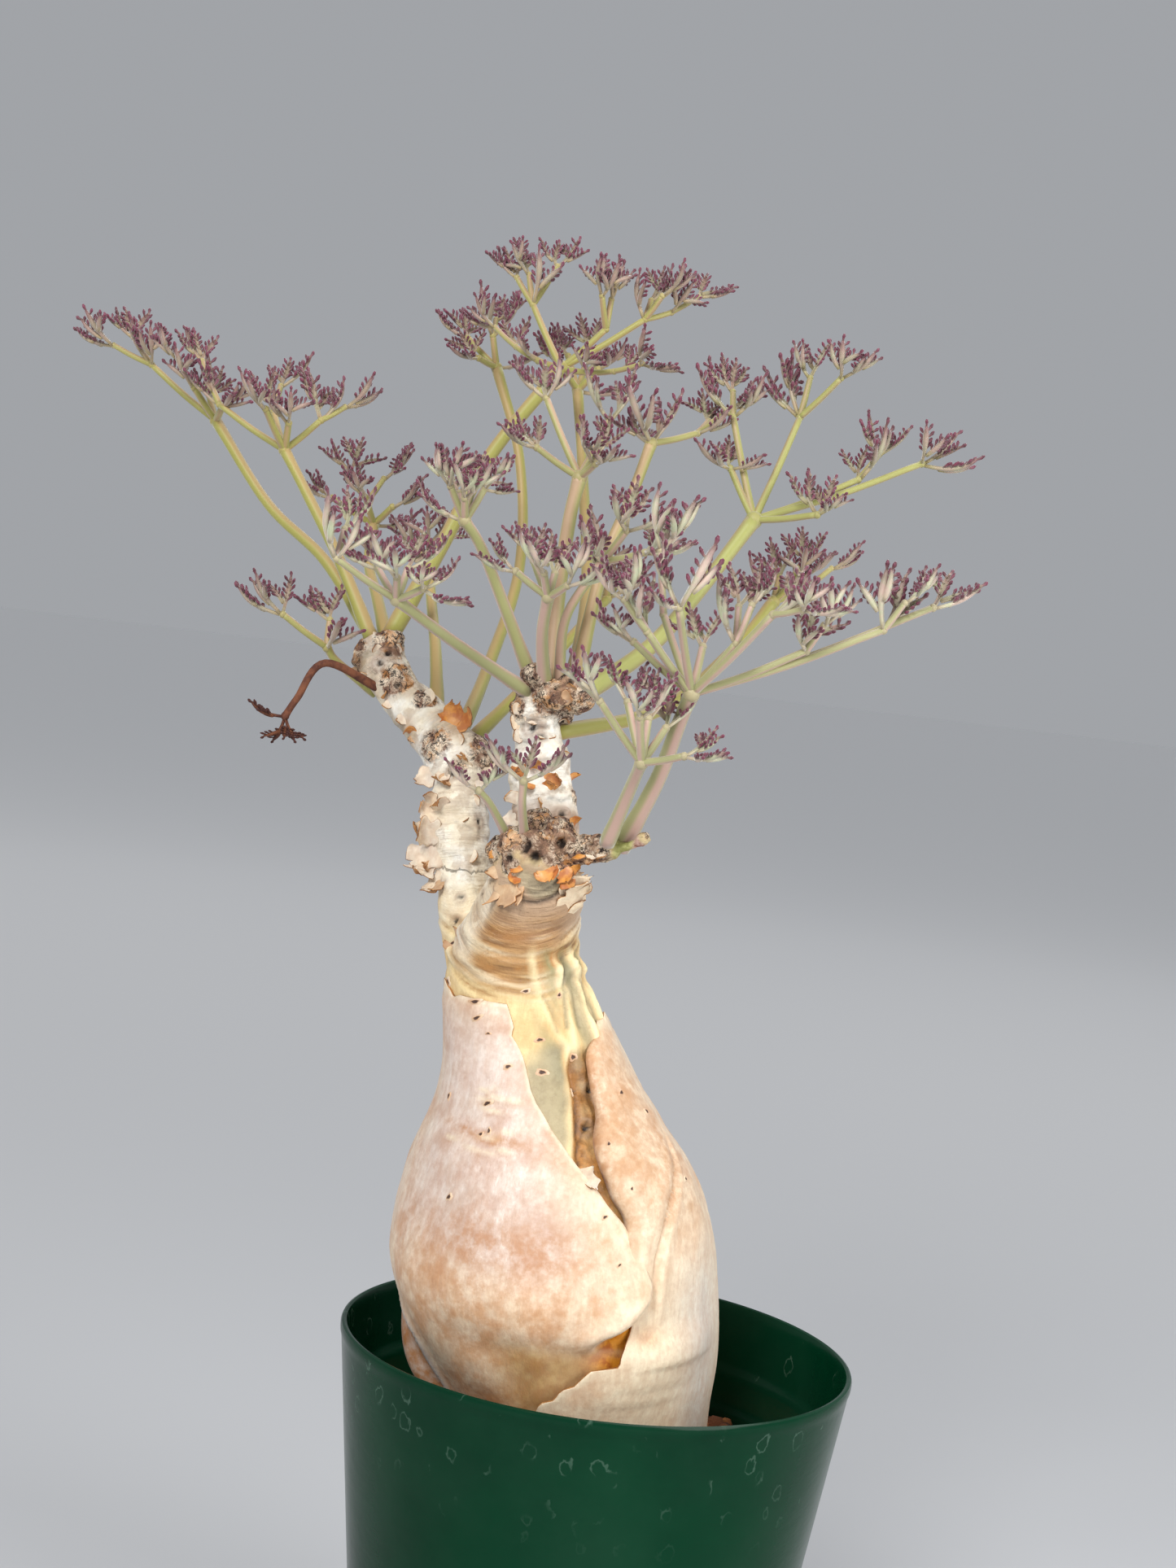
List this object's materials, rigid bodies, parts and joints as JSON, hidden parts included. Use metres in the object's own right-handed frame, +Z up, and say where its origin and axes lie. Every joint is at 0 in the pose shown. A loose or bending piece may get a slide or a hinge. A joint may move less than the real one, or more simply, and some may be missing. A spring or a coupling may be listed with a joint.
{
  "type": "potted cyphostemma betiforme",
  "caption": "Succulent with a bottle-shaped caudex in peeling papery bark, short scarred stems and finely cut leaves, standing in soil in a round tapered nursery pot.",
  "frame": {"origin": "centre of the pot's flat underside, on the surface that it stands on", "axes": "+Z up the pot's axis, +X to the right as the plant is seen from its front, +Y away from that viewer"},
  "size_m": [0.1748, 0.1221, 0.2802],
  "materials": {
    "pot": "gloss",
    "soil": "matte",
    "caudex": "satin",
    "leaf": "satin",
    "leaf_dried": "matte"
  },
  "bodies": {
    "root": {"pot": "pot", "soil": "soil", "caudex_and_stems": "caudex", "leaf_left_far": "leaf", "leaf_left_near": "leaf", "leaf_left_inner": "leaf", "leaf_top": "leaf", "leaf_left_low": "leaf", "leaf_left_dried": "leaf_dried", "leaf_centre_left": "leaf", "leaf_centre_upper": "leaf", "leaf_centre_front": "leaf", "leaf_centre_small": "leaf", "leaf_centre_tall": "leaf", "leaf_centre_right": "leaf", "leaf_right_high": "leaf", "leaf_right_back": "leaf", "leaf_front_right": "leaf", "leaf_front_low": "leaf", "leaf_young_tall": "leaf", "leaf_young_low": "leaf", "leaf_joint_right": "leaf", "leaf_joint_left": "leaf", "leaf_back_high": "leaf", "leaf_back_centre": "leaf"}
  },
  "joints": []
}
